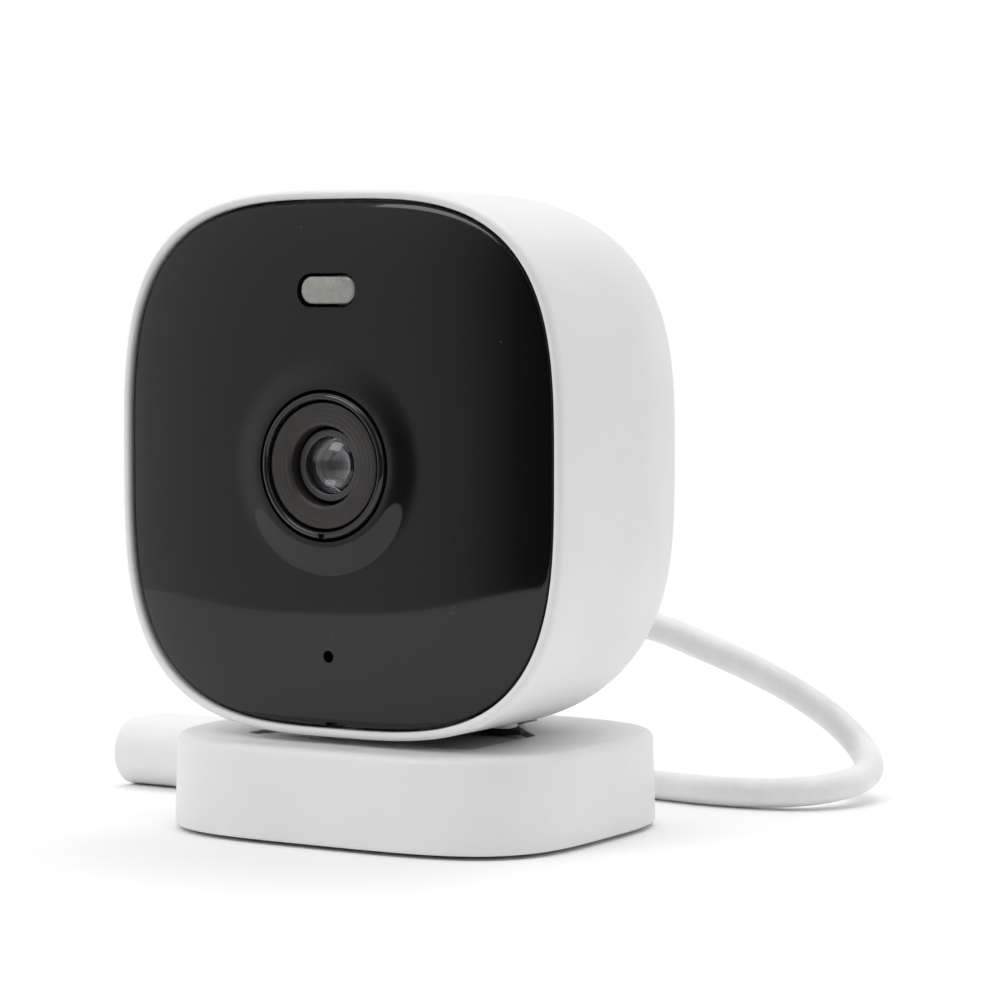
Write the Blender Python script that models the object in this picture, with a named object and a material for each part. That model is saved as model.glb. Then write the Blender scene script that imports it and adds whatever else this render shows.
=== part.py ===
"""A small indoor security camera: a rounded cube head on a square folding stand, with a captive cord.

Lengths in this file are millimetres, turned into metres as each mesh is made.
+Z is up and the camera looks along -Y. The origin is the centre of the stand's foot, on the floor.
"""
import math

import bmesh
import bpy
from mathutils import Vector

MM = 0.001
GAP = 0.3
SHARP_ANGLE = 35.0

# Stand
BASE_HALF = (21.7, 18.1)
BASE_Y = -3.2
BASE_CURVE = 3.69
BASE_BOTTOM = 0.4
BASE_TOP = 9.5
BASE_DRAFT = 0.2
UNDER_INSET = 1.8
UNDER_TOP = 3.3
RECESS_FLOOR = 4.9
RECESS_FRONT = -14.2
RECESS_HALF = 12.75
SHOULDER_Y = -1.8
NOSE_R = 6.5
NOSE_Y = 7.2
CHANNEL_HALF = 6.7
CHANNEL_REAR = 10.0
BASE_SCREW_AT = (14.9, 11.0)

# Hinges: the fold axis is at the front of the stand, the tilt axis at the rear end of the arm
AXIS_Z = 7.25
FOLD_Y = -11.9
TILT_Y = 5.5
BARREL_R = 2.0
PIN_R = 0.8
BORE_R = 1.1
KNUCKLE_HALF = 6.3
ARM_HALF = 12.4
ARM_NARROW_HALF = 6.25
ARM_WINDOW_HALF = 4.4
ARM_LOW = 5.4
ARM_HIGH = 9.1
NECK_KNUCKLE_HALF = 1.9
STOP_LUG = (2.2, 3.1)
STOP_HALF = 4.1
STOP_Y = (-5.5, 3.15)
STOP_Z = (6.3, 8.4)
NECK_X = (-6.0, 6.0)
NECK_Y = (0.4, 7.4)
NECK_Z = (9.4, 15.0)
NECK_FLANGE_Y = -1.4
NECK_FLANGE_Z = 9.9
NECK_FLANGE_HALF = 10.9
NECK_SCREW_X = 4.3
NECK_SCREW_Y = 3.9

# Head
HEAD_Z = 36.14
HEAD_HALF_X = 24.95
HEAD_HALF_Z = 25.95
HEAD_CURVE = 3.24
LIP_Y = -17.75
REAR_START_Y = -2.2
REAR_Y = 15.4
REAR_INSET = 9.3
REAR_CURVE = 1.75
WALL = 1.8
OPENING_INSET = 0.85
LEDGE_Y = -14.9

# Under the head: the setup button and the cover of the memory card's slot
BUTTON_AT = (-8.0, -6.0)
BUTTON_R = 2.0
BUTTON_FACE_Z = 10.3
CARD_AT = (7.0, -6.0)
CARD_SIZE = (12.0, 2.6)
CARD_COVER_Z = (10.75, 13.2)

# Front panel, with its places measured from the middle of the head
PANEL_EDGE_Y = -17.35
PANEL_BACK_Y = -15.3
PANEL_BULGE = 1.55
MOUND_HEIGHT = 0.5
MOUND_R = 10.5
LENS_HOLE_R = 7.2
WINDOW_Z = 16.5
WINDOW_SIZE = (6.1, 2.6)
MIC_Z = -18.1
MIC_R = 0.58
SEAM_NOTCH_HALF = 1.1
SEAM_NOTCH_DEPTH = 0.35

# Lens, front to back: a glossy ring, a flat bezel, the barrel and its glass
RING_OUTER_R = 6.9
RING_INNER_R = 6.18
RING_FRONT_Y = -19.74
BEZEL_OUTER_R = 5.88
BEZEL_INNER_R = 3.75
BARREL_OUTER_R = 3.42
BARREL_INNER_R = 2.4
BARREL_REAR_Y = -6.6
GLASS_R = 2.65
GLASS_APEX_Y = -18.75

# Inside the head
FRAME_SIZE = (40.0, 42.0)
MAIN_BOARD_SIZE = (33.0, 32.0)
SENSOR_BOARD_SIZE = (18.0, 18.0)
BOARD_SCREW_AT = 10.5
INFRARED_AT = 13.5
SPEAKER_R = 9.0
SPEAKER_UP = 5.0
GRILLE_PITCH = (3.2, 2.6)
GRILLE_SLOT = (2.0, 1.0)

# Cord: 3 mm round, from the head's strain relief to its connector, along the floor
CORD_D = 3.0
CORD_EXIT_Z = 17.9
RELIEF_END_Y = 20.5
CONNECTOR_LEFT = -42.0
CONNECTOR_RIGHT = -29.5
CONNECTOR_Y = 8.4
CONNECTOR_Z = 3.6
CONNECTOR_SIZE = (11.4, 7.1)
CORD_ROUTE = [
    (0.0, 20.9, 17.9),
    (0.05, 22.4, 17.9),
    (2.2, 26.2, 17.95),
    (7.6, 30.2, 17.5),
    (12.7, 33.2, 15.2),
    (17.2, 36.0, 12.8),
    (21.2, 38.2, 10.3),
    (24.9, 39.4, 7.7),
    (28.2, 38.8, 5.2),
    (30.4, 36.6, 3.6),
    (31.4, 33.2, 2.8),
    (30.9, 29.5, 2.3),
    (28.6, 26.2, 1.9),
    (24.4, 24.3, 1.62),
    (18.5, 23.7, 1.52),
    (10.0, 24.7, 1.52),
    (0.0, 25.2, 1.52),
    (-7.5, 25.1, 1.52),
    (-12.7, 24.6, 1.52),
    (-17.2, 23.4, 1.52),
    (-20.2, 20.6, 1.52),
    (-21.8, 17.1, 1.6),
    (-22.9, 13.9, 1.9),
    (-24.4, 10.9, 2.7),
    (-26.6, 9.1, 3.35),
    (-29.05, 8.45, 3.6),
]
CORD_POINTS = 40

for old in list(bpy.data.objects):
    bpy.data.objects.remove(old, do_unlink=True)


# ---------------------------------------------------------------- outlines
def superellipse(half_u, half_v, power, count):
    points = []
    for i in range(count):
        angle = 2 * math.pi * (i + 0.5) / count
        c, s = math.cos(angle), math.sin(angle)
        u = half_u * math.copysign(abs(c) ** (2 / power), c)
        v = half_v * math.copysign(abs(s) ** (2 / power), s)
        points.append((u, v))
    return points


def arc(cu, cv, radius, start, end, steps):
    """Points on an arc, with its angles in degrees."""
    angles = [math.radians(start + (end - start) * i / steps) for i in range(steps + 1)]
    return [(cu + radius * math.cos(a), cv + radius * math.sin(a)) for a in angles]


def rounded_rectangle(width, height, radius, steps=5, centre=(0.0, 0.0)):
    u, v = width / 2 - radius, height / 2 - radius
    cu, cv = centre
    points = arc(cu + u, cv + v, radius, 0, 90, steps)
    points += arc(cu - u, cv + v, radius, 90, 180, steps)
    points += arc(cu - u, cv - v, radius, 180, 270, steps)
    points += arc(cu + u, cv - v, radius, 270, 360, steps)
    return points


# ---------------------------------------------------------------- meshes
def skin(rings, loop=False):
    """A closed mesh through rings of points. A ring of one point is a pole; loop joins last to first."""
    bm = bmesh.new()
    made = [[bm.verts.new(Vector(p) * MM) for p in ring] for ring in rings]
    pairs = list(zip(made, made[1:]))
    if loop:
        pairs.append((made[-1], made[0]))
    for a, b in pairs:
        count = max(len(a), len(b))
        for i in range(count):
            j = (i + 1) % count
            if len(a) == 1:
                bm.faces.new((a[0], b[i], b[j]))
            elif len(b) == 1:
                bm.faces.new((a[i], b[0], a[j]))
            else:
                bm.faces.new((a[i], b[i], b[j], a[j]))
    if not loop:
        for ring in (made[0], made[-1]):
            if len(ring) > 2:
                bm.faces.new(ring)
    bmesh.ops.recalc_face_normals(bm, faces=bm.faces)
    mesh = bpy.data.meshes.new("mesh")
    bm.to_mesh(mesh)
    bm.free()
    return mesh


def place(axis, u, v, along):
    """A point from its place across an axis and along it. X takes (y, z), Y takes (x, z), Z takes (x, y)."""
    return {"X": (along, u, v), "Y": (u, along, v), "Z": (u, v, along)}[axis]


def prism(outline, axis, low, high):
    return skin([[place(axis, u, v, t) for u, v in outline] for t in (low, high)])


def turned(axis, centre, profile, sides=20, loop=False):
    """A solid of revolution. The profile lists (radius, place along the axis)."""
    rings = []
    for radius, along in profile:
        if radius == 0:
            rings.append([place(axis, centre[0], centre[1], along)])
            continue
        circle = arc(centre[0], centre[1], radius, 0, 360, sides)[:-1]
        rings.append([place(axis, u, v, along) for u, v in circle])
    return skin(rings, loop)


def block(x, y, z):
    return prism([(x[0], y[0]), (x[1], y[0]), (x[1], y[1]), (x[0], y[1])], "Z", z[0], z[1])


def rod(axis, centre, radius, low, high, sides=16):
    return turned(axis, centre, [(radius, low), (radius, high)], sides)


# ---------------------------------------------------------------- objects
def material(name, colour, roughness, metallic=0.0, transmission=0.0):
    made = bpy.data.materials.new(name)
    made.use_nodes = True
    shader = made.node_tree.nodes["Principled BSDF"]
    shader.inputs["Base Color"].default_value = (*colour, 1.0)
    shader.inputs["Roughness"].default_value = roughness
    shader.inputs["Metallic"].default_value = metallic
    shader.inputs["Transmission Weight"].default_value = transmission
    return made


WHITE = (0.83, 0.83, 0.82)
STAND_GREY = (0.5, 0.5, 0.49)
BLACK = (0.012, 0.012, 0.013)
BOARD = (0.02, 0.16, 0.08)
STEEL = (0.6, 0.6, 0.6)


def add(name, mesh, axis, colour, roughness, metallic=0.0, transmission=0.0):
    """An object named for its piece, parented to the empty that stands on its joint's axis."""
    mesh.name = name
    mesh.shade_smooth()
    mesh.set_sharp_from_angle(angle=math.radians(SHARP_ANGLE))
    made = bpy.data.objects.new(name, mesh)
    made.data.materials.append(material(name, colour, roughness, metallic, transmission))
    bpy.context.scene.collection.objects.link(made)
    if axis:
        made.parent = axis
        made.location = -axis_world(axis)
    return made


def helper(mesh):
    """A shape that only cuts or joins another one."""
    made = bpy.data.objects.new("helper", mesh)
    made.display_type = "WIRE"
    made.hide_render = True
    bpy.context.scene.collection.objects.link(made)
    return made


def combine(target, operation, *meshes):
    for mesh in meshes:
        step = target.modifiers.new(operation.title(), "BOOLEAN")
        step.operation = operation
        step.solver = "EXACT"
        step.object = helper(mesh)


def cut(target, *meshes):
    combine(target, "DIFFERENCE", *meshes)


def join(target, *meshes):
    combine(target, "UNION", *meshes)


def bevel(target, width, segments=2, angle=50):
    step = target.modifiers.new("Bevel", "BEVEL")
    step.width = width * MM
    step.segments = segments
    step.limit_method = "ANGLE"
    step.angle_limit = math.radians(angle)


def axis_world(axis):
    place_now = Vector(axis.location)
    while axis.parent:
        axis = axis.parent
        place_now += axis.location
    return place_now


def axis_empty(name, point, parent=None):
    made = bpy.data.objects.new(name, None)
    bpy.context.scene.collection.objects.link(made)
    made.location = Vector(point) * MM
    if parent:
        made.parent = parent
        made.location -= axis_world(parent)
    return made


# ---------------------------------------------------------------- stand
def base_ring(inset, z):
    half_x, half_y = BASE_HALF[0] - inset, BASE_HALF[1] - inset
    return [(x, BASE_Y + y, z) for x, y in superellipse(half_x, half_y, BASE_CURVE, 40)]


def nose_side(gap, end, steps=6):
    """The right side of the recess where it narrows: a slanted shoulder that turns into the channel."""
    return arc(CHANNEL_HALF + NOSE_R, NOSE_Y, NOSE_R + gap, 225, end, steps)


def recess_outline():
    """Seen from above: wide at the fold hinge, then a channel for the arm, with a rounded nose between."""
    right = arc(RECESS_HALF - 1.2, RECESS_FRONT + 1.2, 1.2, 270, 360, 4)
    right += [(RECESS_HALF, SHOULDER_Y), (RECESS_HALF - 0.3, SHOULDER_Y + 0.55)]
    right += nose_side(0.0, 180)
    right += arc(CHANNEL_HALF - 1.2, CHANNEL_REAR - 1.2, 1.2, 0, 90, 4)
    left = [(-x, y) for x, y in reversed(right)]
    return right + left


def make_base_shell():
    rings = [
        base_ring(UNDER_INSET, UNDER_TOP),
        base_ring(UNDER_INSET, BASE_BOTTOM),
        base_ring(0.35, BASE_BOTTOM),
        base_ring(0.1, BASE_BOTTOM + 0.1),
        base_ring(0.0, BASE_BOTTOM + 0.35),
        base_ring(BASE_DRAFT, BASE_TOP - 0.9),
        base_ring(BASE_DRAFT + 0.12, BASE_TOP - 0.45),
        base_ring(BASE_DRAFT + 0.4, BASE_TOP - 0.13),
        base_ring(BASE_DRAFT + 0.85, BASE_TOP),
    ]
    shell = add("base_shell", skin(rings), None, WHITE, 0.4)
    cut(shell, prism(recess_outline(), "Z", RECESS_FLOOR, BASE_TOP + 3))
    fold = (FOLD_Y, AXIS_Z)
    join(shell, rod("X", fold, BARREL_R, -KNUCKLE_HALF, KNUCKLE_HALF))
    foot = block((-KNUCKLE_HALF, KNUCKLE_HALF), (RECESS_FRONT - 1, FOLD_Y), (RECESS_FLOOR - 0.5, AXIS_Z))
    join(shell, foot)
    for x, y in corners(*BASE_SCREW_AT, BASE_Y):
        join(shell, rod("Z", (x, y), 2.1, UNDER_TOP - 0.9, UNDER_TOP + 0.4, 12))
        cut(shell, rod("Z", (x, y), 0.95, UNDER_TOP - 2, UNDER_TOP + 2.6, 10))
    cut(shell, rod("X", fold, BORE_R, -RECESS_HALF - 2.2, RECESS_HALF + 2.2, 20))
    cut(shell, block((-4.6, -3.3), (RECESS_FRONT - 0.2, -10.0), (8.55, 10)))


def corners(x, y, middle=0.0):
    return [(-x, middle - y), (x, middle - y), (x, middle + y), (-x, middle + y)]


def make_base_underside():
    plate_rings = [base_ring(UNDER_INSET + GAP, 0.9), base_ring(UNDER_INSET + GAP, 2.0)]
    plate = add("base_bottom_plate", skin(plate_rings), None, (0.7, 0.7, 0.69), 0.5)
    for x, y in corners(*BASE_SCREW_AT, BASE_Y):
        cut(plate, rod("Z", (x, y), 0.95, 0, 3, 10), rod("Z", (x, y), 1.7, 0, 1.45, 12))
    steel = add("base_ballast", prism(rounded_rectangle(24, 20, 3, 3, (0, BASE_Y)), "Z", 2.3, 3.0), None, STEEL, 0.35, 1.0)
    bevel(steel, 0.12, 1)
    pad_rings = [base_ring(3.6, 0.0), base_ring(3.4, 0.15), base_ring(3.4, 0.6)]
    add("foot_pad", skin(pad_rings), None, (0.06, 0.06, 0.06), 0.85)
    for number, (x, y) in enumerate(corners(*BASE_SCREW_AT, BASE_Y), 1):
        profile = [(1.4, 0.92), (1.4, 1.15), (0.65, 1.2), (0.65, 5.2), (0.3, 5.6)]
        add(f"base_screw_{number}", turned("Z", (x, y), profile, 10), None, STEEL, 0.3, 1.0)


def make_fold_pin():
    reach = RECESS_HALF + 1.9
    profile = [(0.6, -reach), (PIN_R, -reach + 0.25), (PIN_R, reach - 0.25), (0.6, reach)]
    add("fold_pin", turned("X", (FOLD_Y, AXIS_Z), profile, 20), None, STEEL, 0.3, 1.0)


def make_arm(axis):
    side = [(ARM_HALF, FOLD_Y), (ARM_HALF, SHOULDER_Y - 0.4), (ARM_HALF - 0.6, SHOULDER_Y + 0.5)]
    side += nose_side(0.5, 194, 4)
    outline = side + [(-x, y) for x, y in reversed(side)]
    arm = add("stand_arm", prism(outline, "Z", ARM_LOW, ARM_HIGH), axis, STAND_GREY, 0.45)
    fold, tilt = (FOLD_Y, AXIS_Z), (TILT_Y, AXIS_Z)
    join(arm, rod("X", fold, BARREL_R, -ARM_HALF + 0.05, ARM_HALF - 0.05))
    join(arm, rod("X", tilt, BARREL_R, -ARM_NARROW_HALF + 0.05, ARM_NARROW_HALF - 0.05))
    room = KNUCKLE_HALF + GAP
    cut(arm, block((-room, room), (FOLD_Y - 4, FOLD_Y + BARREL_R + 0.35), (0, 20)))
    cut(arm, block((-ARM_WINDOW_HALF, ARM_WINDOW_HALF), (STOP_Y[0] - 0.4, TILT_Y + 4), (0, 20)))
    cut(arm, rod("X", fold, BORE_R, -20, 20, 20), rod("X", tilt, BORE_R, -20, 20, 20))


def make_tilt_pin(axis):
    reach = ARM_NARROW_HALF - 0.2
    profile = [(0.6, -reach), (PIN_R, -reach + 0.25), (PIN_R, reach - 0.25), (0.6, reach)]
    add("tilt_pin", turned("X", (TILT_Y, AXIS_Z), profile, 20), axis, STEEL, 0.3, 1.0)


def make_tilt_stop(axis):
    """A plate in the arm's window, held by two lugs on the tilt pin. It stays level under the head."""
    plate = block((-STOP_HALF, STOP_HALF), STOP_Y, STOP_Z)
    stop = add("tilt_stop", plate, axis, STEEL, 0.35, 1.0)
    tilt = (TILT_Y, AXIS_Z)
    for side in (-1, 1):
        low, high = sorted(side * x for x in STOP_LUG)
        join(stop, rod("X", tilt, BARREL_R - 0.1, low, high))
        join(stop, block((low, high), (STOP_Y[1] - 0.5, TILT_Y), (STOP_Z[0], AXIS_Z + 0.9)))
    cut(stop, rod("X", tilt, BORE_R, -20, 20, 20))


def make_neck(axis):
    neck = add("neck", block(NECK_X, NECK_Y, NECK_Z), axis, (0.1, 0.1, 0.1), 0.5)
    side = [(NECK_FLANGE_HALF, NECK_FLANGE_Y), (NECK_FLANGE_HALF, NECK_FLANGE_Y + 0.8)]
    side += nose_side(0.6, 182, 4) + [(NECK_X[1] + 0.05, NECK_Y[1] - 0.05)]
    join(neck, prism(side + [(-x, y) for x, y in reversed(side)], "Z", NECK_Z[0] + 0.01, NECK_FLANGE_Z))
    half = NECK_KNUCKLE_HALF
    join(neck, block((-half, half), (TILT_Y - BARREL_R, TILT_Y + BARREL_R), (AXIS_Z, NECK_Z[0] + 0.6)))
    join(neck, rod("X", (TILT_Y, AXIS_Z), BARREL_R, -half + 0.05, half - 0.05))
    cut(neck, rod("X", (TILT_Y, AXIS_Z), BORE_R, -20, 20, 20))
    for number, x in enumerate((-NECK_SCREW_X, NECK_SCREW_X), 1):
        cut(neck, rod("Z", (x, NECK_SCREW_Y), 0.95, 11.2, 20, 16))
        profile = [(1.3, 16.3), (1.3, 15.35), (0.65, 15.3), (0.65, 12.0), (0.3, 11.6)]
        screw = turned("Z", (x, NECK_SCREW_Y), profile, 10)
        add(f"neck_screw_{number}", screw, axis, STEEL, 0.3, 1.0)


# ---------------------------------------------------------------- head
def head_ring(inset, y, count=48):
    outline = superellipse(HEAD_HALF_X - inset, HEAD_HALF_Z - inset, HEAD_CURVE, count)
    return [(x, y, HEAD_Z + z) for x, z in outline]


def rear_inset(share):
    """How far the rounded rear has come in, at a share of the way from its start to the rear face."""
    return REAR_INSET * (1 - (1 - share**REAR_CURVE) ** (1 / REAR_CURVE))


def make_head_shell(axis):
    """One skin: from the rear inside, forward along the inner wall, round the front lip and back outside."""
    rear_length = REAR_Y - REAR_START_Y
    inner_length = rear_length - WALL
    rings = []
    for share in (1.0, 0.93, 0.72, 0.4, 0.0):
        rings.append(head_ring(rear_inset(share) + WALL + 0.2, REAR_START_Y + share * inner_length))
    rings.append(head_ring(WALL + 0.2, LEDGE_Y))
    rings += [head_ring(OPENING_INSET, LEDGE_Y), head_ring(OPENING_INSET, LIP_Y + 0.25)]
    lip = [(0.66, 0.02), (0.4, 0.02), (0.1, 0.3), (0.0, 0.85)]
    rings += [head_ring(inset, LIP_Y + back) for inset, back in lip]
    rings.append(head_ring(0.0, REAR_START_Y))
    for share in (0.25, 0.48, 0.68, 0.84, 0.94, 0.985, 1.0):
        rings.append(head_ring(rear_inset(share), REAR_START_Y + share * rear_length))
    shell = add("head_shell", skin(rings), axis, WHITE, 0.4)
    neck_x = (NECK_X[0] - GAP, NECK_X[1] + GAP)
    neck_y = (NECK_Y[0] - GAP, NECK_Y[1] + GAP)
    cut(shell, block(neck_x, neck_y, (NECK_Z[0] - 1, NECK_Z[1] + 1.6)))
    cut(shell, rod("Y", (0, CORD_EXIT_Z), 2.65, 8, 18, 24))
    cut(shell, rod("Z", BUTTON_AT, BUTTON_R + GAP, 8, 14, 24))
    cut(shell, prism(card_outline(GAP), "Z", 8, 14))
    for column in (-1, 0, 1):
        for row in (-1, 0, 1):
            x, z = GRILLE_PITCH[0] * column, HEAD_Z + SPEAKER_UP + GRILLE_PITCH[1] * row
            slot = rounded_rectangle(*GRILLE_SLOT, GRILLE_SLOT[1] / 2 - 0.02, 2, (x, z))
            cut(shell, prism(slot, "Y", 11, 18))


def card_outline(extra=0.0):
    width, depth = CARD_SIZE
    return rounded_rectangle(width + 2 * extra, depth + 2 * extra, 1.0 + extra, 4, CARD_AT)


def panel_front(share, radius):
    """How far the panel's face stands in front of its edge: a shallow dome, with a low mound at the lens."""
    dome = PANEL_BULGE * (1 - share**5)
    if radius >= MOUND_R:
        return dome
    t = (MOUND_R - radius) / (MOUND_R - LENS_HOLE_R)
    return dome + MOUND_HEIGHT * t * t * (3 - 2 * t)


def make_front_panel(axis):
    half_x = HEAD_HALF_X - OPENING_INSET - 0.25
    half_z = HEAD_HALF_Z - OPENING_INSET - 0.25
    count = 48
    edge = superellipse(half_x, half_z, HEAD_CURVE, count)
    inner = arc(0, 0, LENS_HOLE_R, 180 / count, 360 + 180 / count, count)[:-1]

    def ring(mix, y=None):
        points = []
        for (eu, ev), (iu, iv) in zip(edge, inner):
            u, v = iu + (eu - iu) * mix, iv + (ev - iv) * mix
            share = mix + (1 - mix) * LENS_HOLE_R / math.hypot(eu, ev)
            depth = PANEL_EDGE_Y - panel_front(share, math.hypot(u, v)) if y is None else y
            points.append((u, depth, HEAD_Z + v))
        return points

    rings = [ring(1.0, PANEL_BACK_Y), ring(1.0, PANEL_EDGE_Y)]
    rings += [ring(mix) for mix in (0.94, 0.82, 0.62, 0.4, 0.2, 0.08, 0.0)]
    rings += [ring(0.0, PANEL_BACK_Y)]
    panel = add("front_panel", skin(rings, loop=True), axis, BLACK, 0.12)
    width, height = WINDOW_SIZE
    window = rounded_rectangle(width + 0.6, height + 0.6, 1.5, 5, (0, HEAD_Z + WINDOW_Z))
    cut(panel, prism(window, "Y", -25, -10))
    cut(panel, rod("Y", (0, HEAD_Z + MIC_Z), MIC_R, -25, -10, 16))
    seam = HEAD_Z - half_z
    cut(panel, block((-SEAM_NOTCH_HALF, SEAM_NOTCH_HALF), (-19, -14), (seam - 1, seam + SEAM_NOTCH_DEPTH)))


def make_window(axis):
    width, height = WINDOW_SIZE
    outline = rounded_rectangle(width, height, 1.25, 5, (0, HEAD_Z + WINDOW_Z))
    pane = prism(outline, "Y", -18.55, -16.6)
    window = add("light_window", pane, axis, (0.6, 0.6, 0.56), 0.35, 0.0, 0.3)
    bevel(window, 0.15, 1)
    seat = (0, HEAD_Z + WINDOW_Z)
    board = prism(rounded_rectangle(11.0, 5.0, 0.6, 3, seat), "Y", -13.7, -12.9)
    add("light_board", board, axis, BOARD, 0.5)
    chip = prism(rounded_rectangle(3.0, 3.0, 0.3, 2, seat), "Y", -14.8, -14.0)
    add("light_led", chip, axis, (0.85, 0.8, 0.4), 0.4)


def make_lens(axis):
    centre = (0, HEAD_Z)
    ring_profile = [
        (RING_OUTER_R, -16.0),
        (RING_OUTER_R, RING_FRONT_Y + 0.34),
        (RING_OUTER_R - 0.14, RING_FRONT_Y + 0.08),
        (RING_OUTER_R - 0.4, RING_FRONT_Y),
        (RING_INNER_R + 0.1, RING_FRONT_Y + 0.14),
        (RING_INNER_R, RING_FRONT_Y + 0.44),
        (RING_INNER_R, -16.0),
    ]
    ring = add("lens_ring", turned("Y", centre, ring_profile, 36, loop=True), axis, BLACK, 0.15)
    cut(ring, block((-0.35, 0.35), (-20.5, -19.2), (HEAD_Z - 7.3, HEAD_Z - 6.4)))
    bezel_profile = [
        (BEZEL_OUTER_R, -17.2),
        (BEZEL_OUTER_R, -19.0),
        (BEZEL_OUTER_R - 0.18, -19.12),
        (BEZEL_INNER_R + 0.25, -19.0),
        (BEZEL_INNER_R + 0.07, -18.85),
        (BEZEL_INNER_R, -17.2),
    ]
    add("lens_bezel", turned("Y", centre, bezel_profile, 32, loop=True), axis, (0.04, 0.035, 0.03), 0.5)
    barrel_profile = [
        (BARREL_OUTER_R, BARREL_REAR_Y),
        (BARREL_OUTER_R, -18.1),
        (BARREL_OUTER_R - 0.12, -18.25),
        (3.0, -18.15),
        (2.95, -17.0),
        (BARREL_INNER_R, -16.2),
        (BARREL_INNER_R, BARREL_REAR_Y),
    ]
    add("lens_barrel", turned("Y", centre, barrel_profile, 24, loop=True), axis, (0.03, 0.03, 0.03), 0.4)
    dome = [
        (0.0, GLASS_APEX_Y),
        (0.8, GLASS_APEX_Y + 0.05),
        (1.5, GLASS_APEX_Y + 0.23),
        (2.1, GLASS_APEX_Y + 0.51),
        (GLASS_R, GLASS_APEX_Y + 0.9),
        (GLASS_R, -17.1),
        (1.2, -16.7),
    ]
    add("lens_glass", turned("Y", centre, dome, 20), axis, (0.2, 0.2, 0.25), 0.03, 0.0, 0.8)
    element = [(0.0, -13.4), (1.2, -13.55), (2.1, -14.0), (2.1, -14.6), (1.2, -15.0), (0.0, -15.15)]
    add("lens_inner_element", turned("Y", centre, element, 14), axis, (0.2, 0.2, 0.3), 0.05, 0.0, 0.8)


def make_electronics(axis):
    def board(name, size, y, colour, thick=0.8, radius=1.0, at=(0.0, 0.0), roughness=0.5, metallic=0.0):
        outline = rounded_rectangle(*size, radius, 3, (at[0], HEAD_Z + at[1]))
        return add(name, prism(outline, "Y", y, y + thick), axis, colour, roughness, metallic)

    chassis = board("inner_frame", FRAME_SIZE, -12.4, (0.1, 0.1, 0.1), 1.2, 9.0)
    cut(chassis, rod("Y", (0, HEAD_Z), 5.2, -16, -8, 32))
    board("image_sensor", (4.6, 4.6), -6.2, (0.05, 0.06, 0.08), 0.5, 0.3, roughness=0.2)
    board("sensor_board", SENSOR_BOARD_SIZE, -5.3, BOARD)
    main = board("main_board", MAIN_BOARD_SIZE, -0.5, BOARD, 1.0, 5.0)
    for x, z in corners(BOARD_SCREW_AT, BOARD_SCREW_AT):
        cut(main, rod("Y", (x, HEAD_Z + z), 1.0, -5, 5, 16))
    sink = board("heat_spreader", (16.0, 14.0), 0.9, STEEL, 1.2, 1.0, (0.0, 6.0), 0.35, 1.0)
    for x in (-5.4, -1.8, 1.8, 5.4):
        cut(sink, block((x - 0.6, x + 0.6), (1.5, 3.0), (HEAD_Z - 5, HEAD_Z + 20)))
    board("processor", (8.0, 8.0), -1.7, (0.03, 0.03, 0.03), 0.9, 0.3)
    board("antenna", (16.0, 5.0), 3.2, (0.6, 0.45, 0.2), 0.5, 0.8, (0.0, 15.0), 0.4)
    board("card_socket", (14.0, 12.0), -3.4, STEEL, 1.5, 0.6, (2.0, -13.0), 0.3, 1.0)
    for number, (x, z) in enumerate(corners(BOARD_SCREW_AT, BOARD_SCREW_AT), 1):
        profile = [(1.7, 1.75), (1.7, 0.85), (0.75, 0.8), (0.75, -3.6), (0.3, -4.0)]
        screw = turned("Y", (x, HEAD_Z + z), profile, 10)
        add(f"board_screw_{number}", screw, axis, STEEL, 0.3, 1.0)
    for number, (x, z) in enumerate(corners(INFRARED_AT, INFRARED_AT), 1):
        profile = [(0.0, -15.0), (0.9, -14.7), (1.25, -14.2), (1.25, -13.0), (1.5, -12.9), (1.5, -12.7)]
        emitter = turned("Y", (x, HEAD_Z + z), profile, 10)
        add(f"infrared_led_{number}", emitter, axis, (0.2, 0.15, 0.25), 0.1)
    seat = (0, HEAD_Z + MIC_Z)
    add("microphone", rod("Y", seat, 1.7, -14.9, -12.8, 20), axis, STEEL, 0.35, 1.0)


def make_speaker(axis):
    profile = [
        (SPEAKER_R - 0.6, 5.4),
        (SPEAKER_R - 0.6, 9.0),
        (SPEAKER_R, 9.2),
        (SPEAKER_R, 10.6),
        (SPEAKER_R - 1.4, 10.8),
        (4.5, 9.9),
        (2.0, 9.7),
        (1.2, 10.3),
    ]
    add("speaker", turned("Y", (0, HEAD_Z + SPEAKER_UP), profile, 20), axis, (0.05, 0.05, 0.05), 0.5)


def make_controls(button_axis, head_axis):
    x, y = BUTTON_AT
    low = BUTTON_FACE_Z
    profile = [(1.7, low), (BUTTON_R, low + 0.25), (BUTTON_R, 12.9), (1.2, 13.1), (1.2, 14.6)]
    add("setup_button", turned("Z", (x, y), profile, 16), button_axis, (0.75, 0.75, 0.74), 0.4)
    switch = block((x - 2.2, x + 2.2), (y - 1.6, y + 1.6), (15.6, 17.4))
    body = add("button_switch", switch, head_axis, (0.05, 0.05, 0.05), 0.5)
    bevel(body, 0.25, 2)
    plug = add("card_cover", prism(card_outline(), "Z", *CARD_COVER_Z), head_axis, (0.78, 0.78, 0.77), 0.6)
    bevel(plug, 0.25, 2)


# ---------------------------------------------------------------- cord
def make_strain_relief(axis):
    profile = [(2.3, 11.0), (2.3, 15.9), (2.15, 16.4)]
    steps = 3
    for i in range(steps):
        y = 16.4 + (RELIEF_END_Y - 16.4) * (i + 0.35) / steps
        profile += [(2.1 - 0.07 * i, y), (1.95 - 0.07 * i, y + 0.35)]
    profile += [(1.7, RELIEF_END_Y)]
    add("strain_relief", turned("Y", (0, CORD_EXIT_Z), profile, 14), axis, WHITE, 0.5)


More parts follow.
